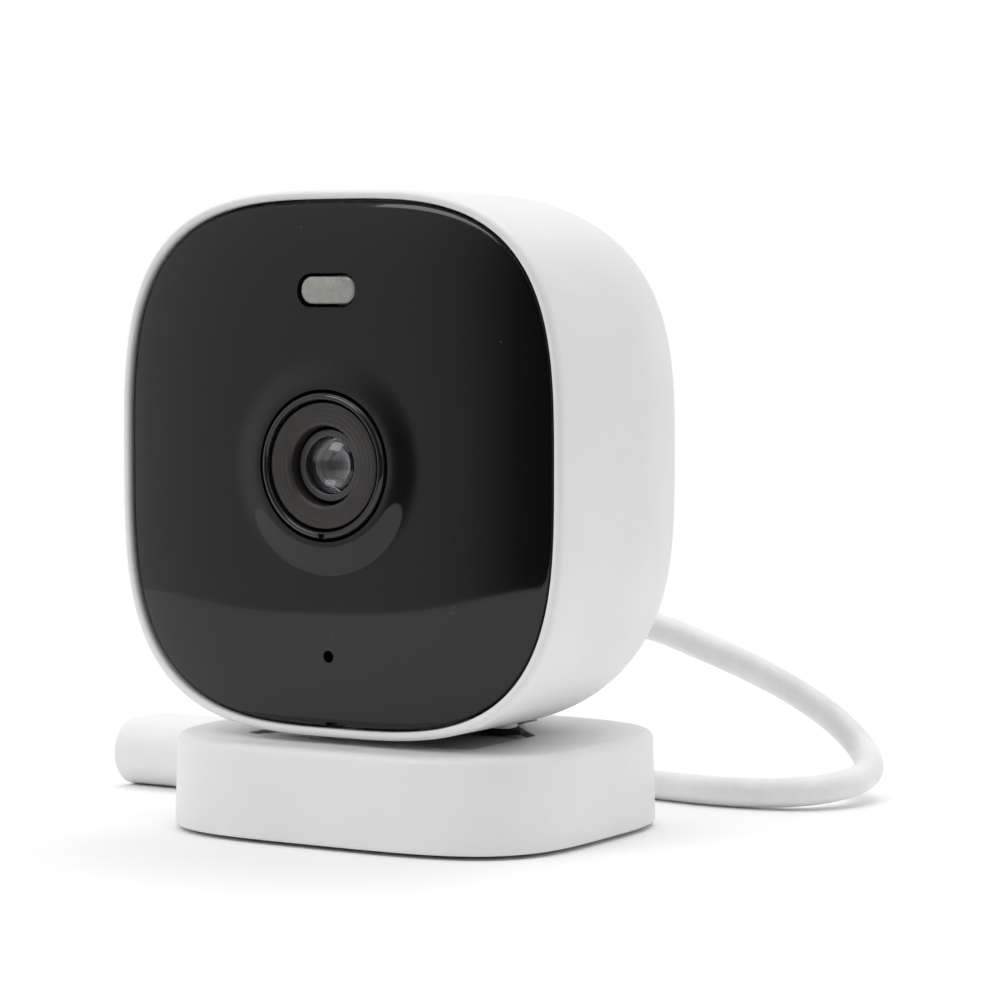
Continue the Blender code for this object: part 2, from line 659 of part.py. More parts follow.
def smooth_curve(points, count):
    """Evenly spaced points on a Catmull-Rom curve through the route."""
    route = [Vector(p) for p in points]
    route = [2 * route[0] - route[1], *route, 2 * route[-1] - route[-2]]
    fine = []
    for a, b, c, d in zip(route, route[1:], route[2:], route[3:]):
        for i in range(24):
            t = i / 24
            square = (2 * a - 5 * b + 4 * c - d) * t * t
            cube = (3 * b - a - 3 * c + d) * t**3
            fine.append((2 * b + (c - a) * t + square + cube) / 2)
    fine.append(route[-2])
    lengths = [0.0]
    for a, b in zip(fine, fine[1:]):
        lengths.append(lengths[-1] + (b - a).length)
    even, j = [], 0
    for i in range(count):
        want = lengths[-1] * i / (count - 1)
        while j < len(fine) - 2 and lengths[j + 1] < want:
            j += 1
        share = (want - lengths[j]) / (lengths[j + 1] - lengths[j])
        even.append(fine[j].lerp(fine[j + 1], share))
    return even


def make_cord():
    curve = bpy.data.curves.new("cord", "CURVE")
    curve.dimensions = "3D"
    curve.bevel_depth = CORD_D / 2 * MM
    curve.bevel_resolution = 2
    curve.use_fill_caps = True
    spline = curve.splines.new("POLY")
    points = smooth_curve(CORD_ROUTE, CORD_POINTS)
    spline.points.add(len(points) - 1)
    for target, point in zip(spline.points, points):
        target.co = (*(point * MM), 1.0)
    made = bpy.data.objects.new("cord", curve)
    made.data.materials.append(material("cord", WHITE, 0.5))
    bpy.context.scene.collection.objects.link(made)


def stadium(extra):
    width, height = CONNECTOR_SIZE
    radius = height / 2 + extra
    centre = (CONNECTOR_Y, CONNECTOR_Z)
    return rounded_rectangle(width + 2 * extra, height + 2 * extra, radius - 0.02, 5, centre)


def make_connector():
    sections = [
        (CONNECTOR_RIGHT, -1.9),
        (CONNECTOR_RIGHT - 0.5, -1.2),
        (CONNECTOR_RIGHT - 1.8, -0.35),
        (CONNECTOR_RIGHT - 3.2, 0.0),
        (CONNECTOR_LEFT + 0.4, 0.0),
        (CONNECTOR_LEFT + 0.1, -0.12),
        (CONNECTOR_LEFT, -0.4),
    ]
    rings = [[(x, y, z) for y, z in stadium(extra)] for x, extra in sections]
    shell = add("connector_shell", skin(rings), None, WHITE, 0.45)
    centre = (CONNECTOR_Y, CONNECTOR_Z)
    left = CONNECTOR_LEFT
    cut(shell, prism(rounded_rectangle(9.3, 3.5, 1.7, 4, centre), "X", left - 1, left + 7.6))
    sleeve = prism(rounded_rectangle(8.7, 2.9, 1.4, 4, centre), "X", left + 0.2, left + 7.2)
    port = add("connector_port", sleeve, None, STEEL, 0.3, 1.0)
    cut(port, prism(rounded_rectangle(8.2, 2.4, 1.15, 4, centre), "X", left - 1, left + 6.6))
    tongue = prism(rounded_rectangle(6.6, 0.7, 0.3, 3, centre), "X", left + 0.8, left + 6.3)
    add("connector_tongue", tongue, None, BLACK, 0.4)


def main():
    fold_axis = axis_empty("fold_axis", (0, FOLD_Y, AXIS_Z))
    pin_axis = axis_empty("tilt_pin_axis", (0, TILT_Y, AXIS_Z), fold_axis)
    tilt_axis = axis_empty("tilt_axis", (0, TILT_Y, AXIS_Z), pin_axis)
    button_axis = axis_empty("button_axis", (*BUTTON_AT, BUTTON_FACE_Z), tilt_axis)
    make_base_shell()
    make_base_underside()
    make_fold_pin()
    make_arm(fold_axis)
    make_tilt_pin(pin_axis)
    make_tilt_stop(pin_axis)
    make_neck(tilt_axis)
    make_head_shell(tilt_axis)
    make_front_panel(tilt_axis)
    make_window(tilt_axis)
    make_lens(tilt_axis)
    make_electronics(tilt_axis)
    make_speaker(tilt_axis)
    make_controls(button_axis, tilt_axis)
    make_strain_relief(tilt_axis)
    make_cord()
    make_connector()


main()
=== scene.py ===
"""Looks of a small indoor security camera: a rounded cube head on a low folding stand, with a captive cord.

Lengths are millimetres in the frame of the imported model, turned into metres as each mesh is made.
"""

import math

import bmesh
import bpy
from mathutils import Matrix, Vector


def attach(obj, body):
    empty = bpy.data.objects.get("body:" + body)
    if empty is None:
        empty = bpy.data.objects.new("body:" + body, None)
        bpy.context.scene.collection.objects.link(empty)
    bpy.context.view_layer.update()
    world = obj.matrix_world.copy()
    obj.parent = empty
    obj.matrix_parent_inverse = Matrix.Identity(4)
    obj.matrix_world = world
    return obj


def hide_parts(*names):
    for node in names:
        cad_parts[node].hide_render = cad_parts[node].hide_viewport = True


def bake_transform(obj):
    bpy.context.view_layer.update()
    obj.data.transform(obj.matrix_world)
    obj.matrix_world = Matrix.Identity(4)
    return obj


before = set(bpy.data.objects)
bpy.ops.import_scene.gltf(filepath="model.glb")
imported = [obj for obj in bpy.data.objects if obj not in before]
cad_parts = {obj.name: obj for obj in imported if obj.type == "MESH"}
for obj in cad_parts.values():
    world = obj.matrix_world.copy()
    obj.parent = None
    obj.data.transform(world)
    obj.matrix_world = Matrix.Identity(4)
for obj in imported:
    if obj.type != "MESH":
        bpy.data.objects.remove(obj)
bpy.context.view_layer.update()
MM = 0.001

# The camera
CAMERA_AZIMUTH = 31.145
CAMERA_ELEVATION = 3.376
CAMERA_DISTANCE = 336.117
CAMERA_TARGET = (9.159, -2.349, 32.352)
CAMERA_LENS = 124.82

# The stand
BASE_HALF = (21.7, 18.1)
BASE_Y = -3.2
BASE_CURVE = 3.69
BASE_BOTTOM = 0.4
BASE_TOP = 9.5
UNDER_INSET = 1.8
UNDER_TOP = 3.3
RECESS_FLOOR = 4.9
RECESS_FRONT = -14.2
RECESS_HALF = 12.75
SHOULDER_Y = -1.8
NOSE_R = 6.5
NOSE_Y = 7.2
CHANNEL_HALF = 6.7
CHANNEL_REAR = 10.0
AXIS_Z = 7.25
FOLD_Y = -11.9
TILT_Y = 5.5
BARREL_R = 2.0
BORE_R = 1.1
KNUCKLE_HALF = 6.3
ARM_HALF = 12.4
ARM_Z = (5.4, 9.1)
ARM_NARROW_HALF = 6.25
ARM_WINDOW_HALF = 4.4
ARM_WINDOW_FRONT = -5.9
NECK_X = (-6.0, 6.0)
NECK_Y = (0.4, 7.4)
NECK_Z = (9.4, 15.0)
NECK_HOLE_X = (-6.3, 6.3)
NECK_HOLE_Y = (0.1, 7.7)
NECK_SCREW_X = 4.3
NECK_SCREW_Y = 3.9
NECK_SCREW_R = 0.95
NECK_KNUCKLE_HALF = 1.9
NECK_FLANGE_HALF = 10.9
NECK_FLANGE_Y = -1.4

# The head
HEAD_Z = 36.14
HEAD_HALF_X = 24.95
HEAD_HALF_Z = 25.95
HEAD_CURVE = 3.24
LIP_Y = -17.75
REAR_START_Y = -2.2
REAR_Y = 15.4
REAR_INSET = 9.3
REAR_CURVE = 1.75
WALL = 1.8
OPENING_INSET = 0.85
LEDGE_Y = -14.9
PANEL_EDGE_Y = -17.35
PANEL_BACK_Y = -15.3
PANEL_BULGE = 1.55
MOUND_HEIGHT = 0.5
MOUND_R = 10.5
LENS_HOLE_R = 7.2
WINDOW_Z = 16.5
WINDOW_SIZE = (6.1, 2.6)
MIC_Z = -18.1
MIC_R = 0.58
BUTTON_AT = (-8.0, -6.0)
CARD_AT = (7.0, -6.0)
CARD_SIZE = (12.0, 2.6)
SPEAKER_UP = 5.0

# The cord
CORD_D = 3.0
CORD_EXIT_Z = 17.9
CORD_ROUTE = [
    (0.0, 20.9, 17.9),
    (0.05, 22.4, 17.9),
    (2.2, 26.2, 17.95),
    (7.6, 30.2, 17.5),
    (12.7, 33.2, 15.2),
    (17.2, 36.0, 12.8),
    (21.2, 38.2, 10.3),
    (24.9, 39.4, 7.7),
    (28.2, 38.8, 5.2),
    (30.4, 36.6, 3.6),
    (31.4, 33.2, 2.8),
    (30.9, 29.5, 2.3),
    (28.6, 26.2, 1.9),
    (24.4, 24.3, 1.62),
    (18.5, 23.7, 1.52),
    (10.0, 24.7, 1.52),
    (0.0, 25.2, 1.52),
    (-7.5, 25.1, 1.52),
    (-12.7, 24.6, 1.52),
    (-17.2, 23.4, 1.52),
    (-20.2, 20.6, 1.52),
    (-21.8, 17.1, 1.6),
    (-22.9, 13.9, 1.9),
    (-24.4, 10.9, 2.7),
    (-26.6, 9.1, 3.35),
    (-29.05, 8.45, 3.6),
]
CORD_POINTS = 161
CORD_HELD = 4
UPPER_END = 0.3
MIDDLE_END = 0.64
LIFT_START = 0.93
CONNECTOR_LEFT = -42.0
CONNECTOR_RIGHT = -29.5
CONNECTOR_Y = 8.4
CONNECTOR_Z = 3.6
CONNECTOR_SIZE = (11.4, 7.1)


# ---------------------------------------------------------------- camera
def make_camera():
    azimuth, elevation = math.radians(CAMERA_AZIMUTH), math.radians(CAMERA_ELEVATION)
    level = math.cos(elevation)
    back = Vector((math.sin(azimuth) * level, -math.cos(azimuth) * level, math.sin(elevation)))
    data = bpy.data.cameras.new("view")
    data.lens = CAMERA_LENS
    data.sensor_width = 36.0
    data.clip_start = 0.01
    data.clip_end = 50.0
    camera = bpy.data.objects.new("view", data)
    camera.location = (Vector(CAMERA_TARGET) + back * CAMERA_DISTANCE) * MM
    camera.rotation_euler = back.to_track_quat("Z", "Y").to_euler()
    bpy.context.scene.collection.objects.link(camera)
    bpy.context.scene.camera = camera


make_camera()


# ---------------------------------------------------------------- outlines
def superellipse(half_u, half_v, power, count):
    points = []
    for i in range(count):
        angle = 2 * math.pi * (i + 0.5) / count
        c, s = math.cos(angle), math.sin(angle)
        u = half_u * math.copysign(abs(c) ** (2 / power), c)
        v = half_v * math.copysign(abs(s) ** (2 / power), s)
        points.append((u, v))
    return points


def even_superellipse(half_u, half_v, power, count):
    """The same outline with evenly spaced points, which shade better."""
    fine = superellipse(half_u, half_v, power, count * 8)
    fine.append(fine[0])
    lengths = [0.0]
    for a, b in zip(fine, fine[1:]):
        lengths.append(lengths[-1] + math.dist(a, b))
    even, j = [], 0
    for i in range(count):
        want = lengths[-1] * i / count
        while lengths[j + 1] < want:
            j += 1
        share = (want - lengths[j]) / (lengths[j + 1] - lengths[j])
        (au, av), (bu, bv) = fine[j], fine[j + 1]
        even.append((au + (bu - au) * share, av + (bv - av) * share))
    return even


def arc(cu, cv, radius, start, end, steps):
    """Points on an arc, with its angles in degrees."""
    angles = [math.radians(start + (end - start) * i / steps) for i in range(steps + 1)]
    return [(cu + radius * math.cos(a), cv + radius * math.sin(a)) for a in angles]


def rounded_rectangle(width, height, radius, steps=12, centre=(0.0, 0.0)):
    u, v = width / 2 - radius, height / 2 - radius
    cu, cv = centre
    points = arc(cu + u, cv + v, radius, 0, 90, steps)
    points += arc(cu - u, cv + v, radius, 90, 180, steps)
    points += arc(cu - u, cv - v, radius, 180, 270, steps)
    points += arc(cu + u, cv - v, radius, 270, 360, steps)
    return points


# ---------------------------------------------------------------- meshes
def skin(rings, loop=False):
    """A closed mesh through rings of points. A ring of one point is a pole; loop joins last to first."""
    bm = bmesh.new()
    made = [[bm.verts.new(Vector(p) * MM) for p in ring] for ring in rings]
    pairs = list(zip(made, made[1:]))
    if loop:
        pairs.append((made[-1], made[0]))
    for a, b in pairs:
        count = max(len(a), len(b))
        for i in range(count):
            j = (i + 1) % count
            if len(a) == 1:
                bm.faces.new((a[0], b[i], b[j]))
            elif len(b) == 1:
                bm.faces.new((a[i], b[0], a[j]))
            else:
                bm.faces.new((a[i], b[i], b[j], a[j]))
    if not loop:
        for ring in (made[0], made[-1]):
            if len(ring) > 2:
                bm.faces.new(ring)
    bmesh.ops.recalc_face_normals(bm, faces=bm.faces)
    mesh = bpy.data.meshes.new("mesh")
    bm.to_mesh(mesh)
    bm.free()
    return mesh


def place(axis, u, v, along):
    return {"X": (along, u, v), "Y": (u, along, v), "Z": (u, v, along)}[axis]


def prism(outline, axis, low, high):
    return skin([[place(axis, u, v, t) for u, v in outline] for t in (low, high)])


def turned(axis, centre, profile, sides=96, loop=False):
    """A solid of revolution. The profile lists (radius, place along the axis)."""
    rings = []
    for radius, along in profile:
        if radius == 0:
            rings.append([place(axis, centre[0], centre[1], along)])
            continue
        circle = arc(centre[0], centre[1], radius, 0, 360, sides)[:-1]
        rings.append([place(axis, u, v, along) for u, v in circle])
    return skin(rings, loop)


def block(x, y, z):
    return prism([(x[0], y[0]), (x[1], y[0]), (x[1], y[1]), (x[0], y[1])], "Z", z[0], z[1])


def rod(axis, centre, radius, low, high, sides=48):
    return turned(axis, centre, [(radius, low), (radius, high)], sides)


# ---------------------------------------------------------------- pieces
def link(name, mesh):
    made = bpy.data.objects.new(name, mesh)
    bpy.context.scene.collection.objects.link(made)
    return made


def combine(target, operation, meshes):
    """Cuts or joins the meshes, and keeps the result in the piece's own mesh."""
    helpers = []
    for mesh in meshes:
        helper = link("helper", mesh)
        helper.hide_render = True
        step = target.modifiers.new(operation.title(), "BOOLEAN")
        step.operation = operation
        step.solver = "EXACT"
        step.object = helper
        helpers.append(helper)
    settle(target)
    for helper in helpers:
        bpy.data.objects.remove(helper, do_unlink=True)


def settle(target):
    """Applies the piece's modifiers."""
    graph = bpy.context.evaluated_depsgraph_get()
    graph.update()
    made = bpy.data.meshes.new_from_object(target.evaluated_get(graph))
    target.modifiers.clear()
    target.data = made


def cut(target, *meshes):
    combine(target, "DIFFERENCE", meshes)


def join(target, *meshes):
    combine(target, "UNION", meshes)


def soften(target, width, segments=3, angle=40):
    """Rounds the sharp edges."""
    step = target.modifiers.new("Bevel", "BEVEL")
    step.width = width * MM
    step.segments = segments
    step.limit_method = "ANGLE"
    step.angle_limit = math.radians(angle)
    step.use_clamp_overlap = True
    settle(target)


def finish_piece(target, body, nodes, look, sharp=38):
    """Smooth shading, material and body of a piece that stands for CAD nodes."""
    target.data.name = target.name
    target.data.shade_smooth()
    target.data.set_sharp_from_angle(angle=math.radians(sharp))
    target.data.materials.clear()
    target.data.materials.append(look)
    if body:
        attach(target, body)
    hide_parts(*nodes)
    return target


# ---------------------------------------------------------------- materials
class Look:
    """A material with its node tree, and short ways to add nodes to it."""

    def __init__(self, name, colour, roughness, metallic=0.0, **sockets):
        self.material = bpy.data.materials.new(name)
        self.material.use_nodes = True
        self.tree = self.material.node_tree
        self.shader = self.tree.nodes["Principled BSDF"]
        self.shader.inputs["Base Color"].default_value = (*colour, 1.0)
        self.shader.inputs["Roughness"].default_value = roughness
        self.shader.inputs["Metallic"].default_value = metallic
        for socket, value in sockets.items():
            self.shader.inputs[socket.replace("_", " ")].default_value = value
        self.colour = colour
        self.where = self.add("ShaderNodeTexCoord").outputs["Object"]
        self.bumps = None

    def add(self, kind, **settings):
        node = self.tree.nodes.new(kind)
        for key, value in settings.items():
            setattr(node, key, value)
        return node

    def join(self, source, target):
        self.tree.links.new(source, target)

    def noise(self, size, detail=2.0, stretch=None, offset=0.0):
        """Noise whose features are about this many millimetres across."""
        node = self.add("ShaderNodeTexNoise")
        node.inputs["Scale"].default_value = 1 / (size * MM)
        node.inputs["Detail"].default_value = detail
        source = self.where
        if stretch or offset:
            mapping = self.add("ShaderNodeMapping")
            mapping.inputs["Scale"].default_value = stretch or (1, 1, 1)
            mapping.inputs["Location"].default_value = (offset, offset, offset)
            self.join(source, mapping.inputs["Vector"])
            source = mapping.outputs["Vector"]
        self.join(source, node.inputs["Vector"])
        return node.outputs["Fac"]

    def range(self, source, low, high, to_low, to_high):
        node = self.add("ShaderNodeMapRange")
        for socket, value in zip(("From Min", "From Max", "To Min", "To Max"), (low, high, to_low, to_high)):
            node.inputs[socket].default_value = value
        self.join(source, node.inputs["Value"])
        return node.outputs["Result"]

    def math(self, operation, first, second):
        node = self.add("ShaderNodeMath", operation=operation)
        for socket, value in zip(node.inputs, (first, second)):
            if isinstance(value, (int, float)):
                socket.default_value = value
            else:
                self.join(value, socket)
        return node.outputs["Value"]

    def mix(self, share, first, second):
        node = self.add("ShaderNodeMix", data_type="RGBA")
        colour_a, colour_b = node.inputs[6], node.inputs[7]
        for socket, value in ((node.inputs["Factor"], share), (colour_a, first), (colour_b, second)):
            if isinstance(value, tuple):
                socket.default_value = (*value, 1.0)
            elif isinstance(value, (int, float)):
                socket.default_value = value
            else:
                self.join(value, socket)
        return node.outputs[2]

    def paint(self, source):
        self.join(source, self.shader.inputs["Base Color"])
        return self

    def rough(self, source):
        self.join(source, self.shader.inputs["Roughness"])
        return self

    def bump(self, source, depth, strength=1.0):
        """Raises the surface by up to this many millimetres."""
        node = self.add("ShaderNodeBump")
        node.inputs["Strength"].default_value = strength
        node.inputs["Distance"].default_value = depth * MM
        self.join(source, node.inputs["Height"])
        if self.bumps:
            self.join(self.bumps, node.inputs["Normal"])
        self.bumps = node.outputs["Normal"]
        self.join(self.bumps, self.shader.inputs["Normal"])
        return self

    def worn(self, paint, wear_colour, dirt_colour, amount):
        """Edges rub lighter and hollows keep a little dust."""
        edge = self.add("ShaderNodeNewGeometry").outputs["Pointiness"]
        rubbed = self.range(edge, 0.53, 0.60, 0.0, amount)
        rubbed = self.math("MULTIPLY", rubbed, self.range(self.noise(1.4, 4.0), 0.35, 0.65, 0.2, 1.0))
        dusty = self.range(edge, 0.47, 0.40, 0.0, amount)
        return self.mix(dusty, self.mix(rubbed, paint, wear_colour), dirt_colour)


def shade(colour, share):
    """The colour made darker or lighter."""
    return tuple(min(1.0, c * share) for c in colour)


def moulded(name, colour, roughness=0.42, grain=0.16, depth=0.012, tint=0.03, **sockets):
    """Moulded plastic with a fine even texture, slight cloudiness and rubbed edges."""
    look = Look(name, colour, roughness, **sockets)
    cloud = look.noise(9.0, 3.0)
    darker, lighter = shade(colour, 1 - tint), shade(colour, 1 + tint / 2)
    paint = look.mix(look.range(cloud, 0.3, 0.7, 0.0, 1.0), darker, lighter)
    look.paint(look.worn(paint, shade(colour, 1.06), shade(colour, 0.9), 0.5))
    smudge = look.noise(4.0, 4.0, offset=0.3)
    look.rough(look.range(smudge, 0.3, 0.7, roughness - 0.05, roughness + 0.06))
    look.bump(look.noise(grain, 3.0), depth, 0.35)
    return look.material


def polished(name, colour, roughness=0.07, specks=True, **sockets):
    """Polished plastic: long soft waves from moulding, faint smudges and a few specks of dust."""
    look = Look(name, colour, roughness, **sockets)
    smudge = look.range(look.noise(7.0, 5.0), 0.42, 0.75, 0.0, 1.0)
    streak = look.range(look.noise(1.3, 6.0, stretch=(1.0, 1.0, 0.25), offset=0.2), 0.45, 0.8, 0.0, 1.0)
    haze = look.math("MULTIPLY", smudge, streak)
    rough = look.math("MULTIPLY_ADD", haze, 0.16)
    rough.node.inputs[2].default_value = roughness
    if specks:
        cells = look.add("ShaderNodeTexVoronoi")
        cells.inputs["Scale"].default_value = 1 / (2.1 * MM)
        look.join(look.where, cells.inputs["Vector"])
        dust = look.range(cells.outputs["Distance"], 0.035, 0.02, 0.0, 1.0)
        chosen = look.range(look.noise(2.6, 1.0, offset=0.7), 0.56, 0.58, 0.0, 1.0)
        dust = look.math("MULTIPLY", dust, chosen)
        look.paint(look.mix(dust, colour, (0.16, 0.155, 0.15)))
        rough = look.math("MAXIMUM", rough, look.math("MULTIPLY", dust, 0.7))
    look.rough(rough)
    look.bump(look.noise(6.0, 1.0), 0.006, 0.25)
    return look.material


def grooved(name, colour, roughness, pitch, centre, depth=0.02):
    """A matt face with fine turned rings about an axis along Y through the centre."""
    look = Look(name, colour, roughness)
    parts = look.add("ShaderNodeSeparateXYZ")
    look.join(look.where, parts.inputs["Vector"])
    x = look.math("SUBTRACT", parts.outputs["X"], centre[0] * MM)
    z = look.math("SUBTRACT", parts.outputs["Z"], centre[1] * MM)
    squares = look.math("ADD", look.math("POWER", x, 2.0), look.math("POWER", z, 2.0))
    radius = look.math("SQRT", squares, 0.0)
    rings = look.math("SINE", look.math("MULTIPLY", radius, 2 * math.pi / (pitch * MM)), 0.0)
    look.bump(rings, depth, 0.35)
    look.bump(look.noise(0.2, 2.0), 0.01, 0.3)
    cloud = look.range(look.noise(2.2, 3.0), 0.3, 0.7, 0.0, 1.0)
    look.paint(look.mix(cloud, shade(colour, 0.85), shade(colour, 1.15)))
    look.rough(look.range(look.noise(1.0, 3.0, offset=0.4), 0.3, 0.7, roughness - 0.06, roughness + 0.08))
    return look.material


def rubbery(name, colour, roughness=0.6):
    """Soft rubber: a dull skin with faint bloom and dust."""
    look = Look(name, colour, roughness)
    cloud = look.range(look.noise(3.0, 5.0), 0.35, 0.7, 0.0, 1.0)
    paint = look.mix(cloud, shade(colour, 0.94), shade(colour, 1.03))
    look.paint(look.worn(paint, shade(colour, 1.05), shade(colour, 0.85), 0.4))
    look.rough(look.range(look.noise(0.9, 3.0), 0.3, 0.7, roughness - 0.07, roughness + 0.1))
    look.bump(look.noise(0.25, 3.0), 0.015, 0.35)
    return look.material


def metal(name, colour, roughness, stretch=(1.0, 1.0, 1.0)):
    """Bright or brushed metal with fine scratches along one way."""
    look = Look(name, colour, roughness, 1.0)
    scratch = look.noise(0.12, 4.0, stretch=stretch)
    look.rough(look.range(scratch, 0.25, 0.75, roughness - 0.08, roughness + 0.14))
    stain = look.range(look.noise(2.5, 4.0), 0.3, 0.75, 0.0, 1.0)
    look.paint(look.mix(stain, colour, shade(colour, 0.82)))
    look.bump(scratch, 0.004, 0.3)
    return look.material


def board_look(name):
    """Green solder mask with copper tracks showing through as paler lines, and tinned pads."""
    green = (0.012, 0.11, 0.045)
    look = Look(name, green, 0.35)
    bricks = look.add("ShaderNodeTexBrick", offset=0.5)
    mapping = look.add("ShaderNodeMapping")
    mapping.inputs["Rotation"].default_value = (math.radians(90), 0, 0)
    look.join(look.where, mapping.inputs["Vector"])
    look.join(mapping.outputs["Vector"], bricks.inputs["Vector"])
    bricks.inputs["Scale"].default_value = 420.0
    bricks.inputs["Mortar Size"].default_value = 0.035
    bricks.inputs["Color1"].default_value = (*green, 1.0)
    bricks.inputs["Color2"].default_value = (0.014, 0.125, 0.05, 1.0)
    bricks.inputs["Mortar"].default_value = (0.03, 0.22, 0.09, 1.0)
    pads = look.add("ShaderNodeTexVoronoi")
    pads.inputs["Scale"].default_value = 330.0
    pads.inputs["Randomness"].default_value = 0.35
    look.join(look.where, pads.inputs["Vector"])
    pad = look.range(pads.outputs["Distance"], 0.16, 0.13, 0.0, 1.0)
    look.paint(look.mix(pad, bricks.outputs["Color"], (0.55, 0.52, 0.42)))
    look.rough(look.range(look.noise(1.5, 2.0), 0.3, 0.7, 0.3, 0.45))
    look.bump(bricks.outputs["Fac"], 0.03, 0.5)
    return look.material


def frosted(name):
    """A frosted light pipe: milky, a little see-through, with fine grain."""
    look = Look(name, (0.33, 0.33, 0.30), 0.24, Coat_Weight=0.35, Coat_Roughness=0.08)
    milk = look.range(look.noise(1.1, 4.0), 0.3, 0.7, 0.0, 1.0)
    look.paint(look.mix(milk, (0.27, 0.27, 0.245), (0.37, 0.37, 0.34)))
    look.rough(look.range(look.noise(0.3, 2.0), 0.3, 0.7, 0.2, 0.32))
    look.bump(look.noise(0.1, 2.0), 0.01, 0.3)
    return look.material


def optical(name, colour, roughness, transmission, **sockets):
    """Coated optical glass with a trace of fingerprint."""
    look = Look(name, colour, roughness, Transmission_Weight=transmission, IOR=1.5, **sockets)
    fingerprint = look.range(look.noise(0.5, 5.0), 0.5, 0.8, 0.0, 1.0)
    rough = look.math("MULTIPLY_ADD", fingerprint, 0.04)
    rough.node.inputs[2].default_value = roughness
    look.rough(rough)
    return look.material


WHITE = moulded("white_satin", (0.80, 0.80, 0.80))
GLOSS = polished("panel_gloss", (0.0042, 0.0036, 0.0034), 0.05, Specular_IOR_Level=0.42)
RING = polished("ring_gloss", (0.010, 0.0095, 0.0095), 0.09, specks=False)
STAND = moulded("stand_grey", (0.64, 0.64, 0.635), 0.45)
PLATE = moulded("plate_grey", (0.62, 0.62, 0.61), 0.5)
BEZEL = grooved("bezel_matt", (0.022, 0.018, 0.016), 0.45, 0.45, (0.0, HEAD_Z))
BARREL = grooved("barrel_matt", (0.045, 0.044, 0.046), 0.34, 0.22, (0.0, HEAD_Z), 0.02)
CORD = rubbery("cord_jacket", (0.86, 0.86, 0.855), 0.5)
FOOT = rubbery("foot_rubber", (0.035, 0.035, 0.035), 0.8)
COVER = rubbery("cover_rubber", (0.70, 0.70, 0.69), 0.6)
STEEL = metal("bright_steel", (0.56, 0.56, 0.57), 0.26, (0.15, 1.0, 1.0))
PIN = metal("pin_steel", (0.5, 0.5, 0.51), 0.2, (0.1, 1.0, 1.0))
BOARD = board_look("board_green")
CHIP = moulded("chip_black", (0.018, 0.018, 0.019), 0.45, 0.08)
FRAME = moulded("frame_black", (0.017, 0.017, 0.018), 0.5)
BUTTON = moulded("button_light", (0.68, 0.68, 0.67), 0.4)
WINDOW = frosted("window_frosted")
GLASS = optical("glass_front", (0.93, 0.92, 0.97), 0.012, 1.0)
VIOLET_COAT = (0.75, 0.6, 1.0, 1.0)
INNER_GLASS = optical("glass_inner", (0.10, 0.07, 0.28), 0.03, 0.35, Coat_Weight=1.0, Coat_Tint=VIOLET_COAT)
LED = polished("led_resin", (0.75, 0.66, 0.22), 0.15, specks=False)
INFRARED_LED = polished("infrared_resin", (0.05, 0.035, 0.07), 0.08, specks=False)
COPPER = metal("antenna_copper", (0.72, 0.42, 0.22), 0.3)


# ---------------------------------------------------------------- cord
def smooth_curve(points, count):
    """Evenly spaced points on a Catmull-Rom curve through the route."""
    route = [Vector(p) for p in points]
    route = [2 * route[0] - route[1], *route, 2 * route[-1] - route[-2]]
    fine = []
    for a, b, c, d in zip(route, route[1:], route[2:], route[3:]):
        for i in range(24):
            t = i / 24
            square = (2 * a - 5 * b + 4 * c - d) * t * t
            cube = (3 * b - a - 3 * c + d) * t**3
            fine.append((2 * b + (c - a) * t + square + cube) / 2)
    fine.append(route[-2])
    lengths = [0.0]
    for a, b in zip(fine, fine[1:]):
        lengths.append(lengths[-1] + (b - a).length)
    even, j = [], 0
    for i in range(count):
        want = lengths[-1] * i / (count - 1)
        while j < len(fine) - 2 and lengths[j + 1] < want:
            j += 1
        share = (want - lengths[j]) / (lengths[j + 1] - lengths[j])
        even.append(fine[j].lerp(fine[j + 1], share))
    return even


def tube(name, line, first, last, radius, sides=28):
    """A round tube along a stretch of the line. The whole line turns its rings, so the stretches meet."""
    side = Vector((0.0, 0.0, 1.0))
    rings = []
    for i in range(len(line)):
        ahead = (line[min(i + 1, len(line) - 1)] - line[max(i - 1, 0)]).normalized()
        side = (side - ahead * side.dot(ahead)).normalized()
        other = ahead.cross(side)
        if first <= i <= last:
            angles = [2 * math.pi * k / sides for k in range(sides)]
            rings.append([line[i] + radius * (math.cos(a) * side + math.sin(a) * other) for a in angles])
    return link(name, skin(rings))


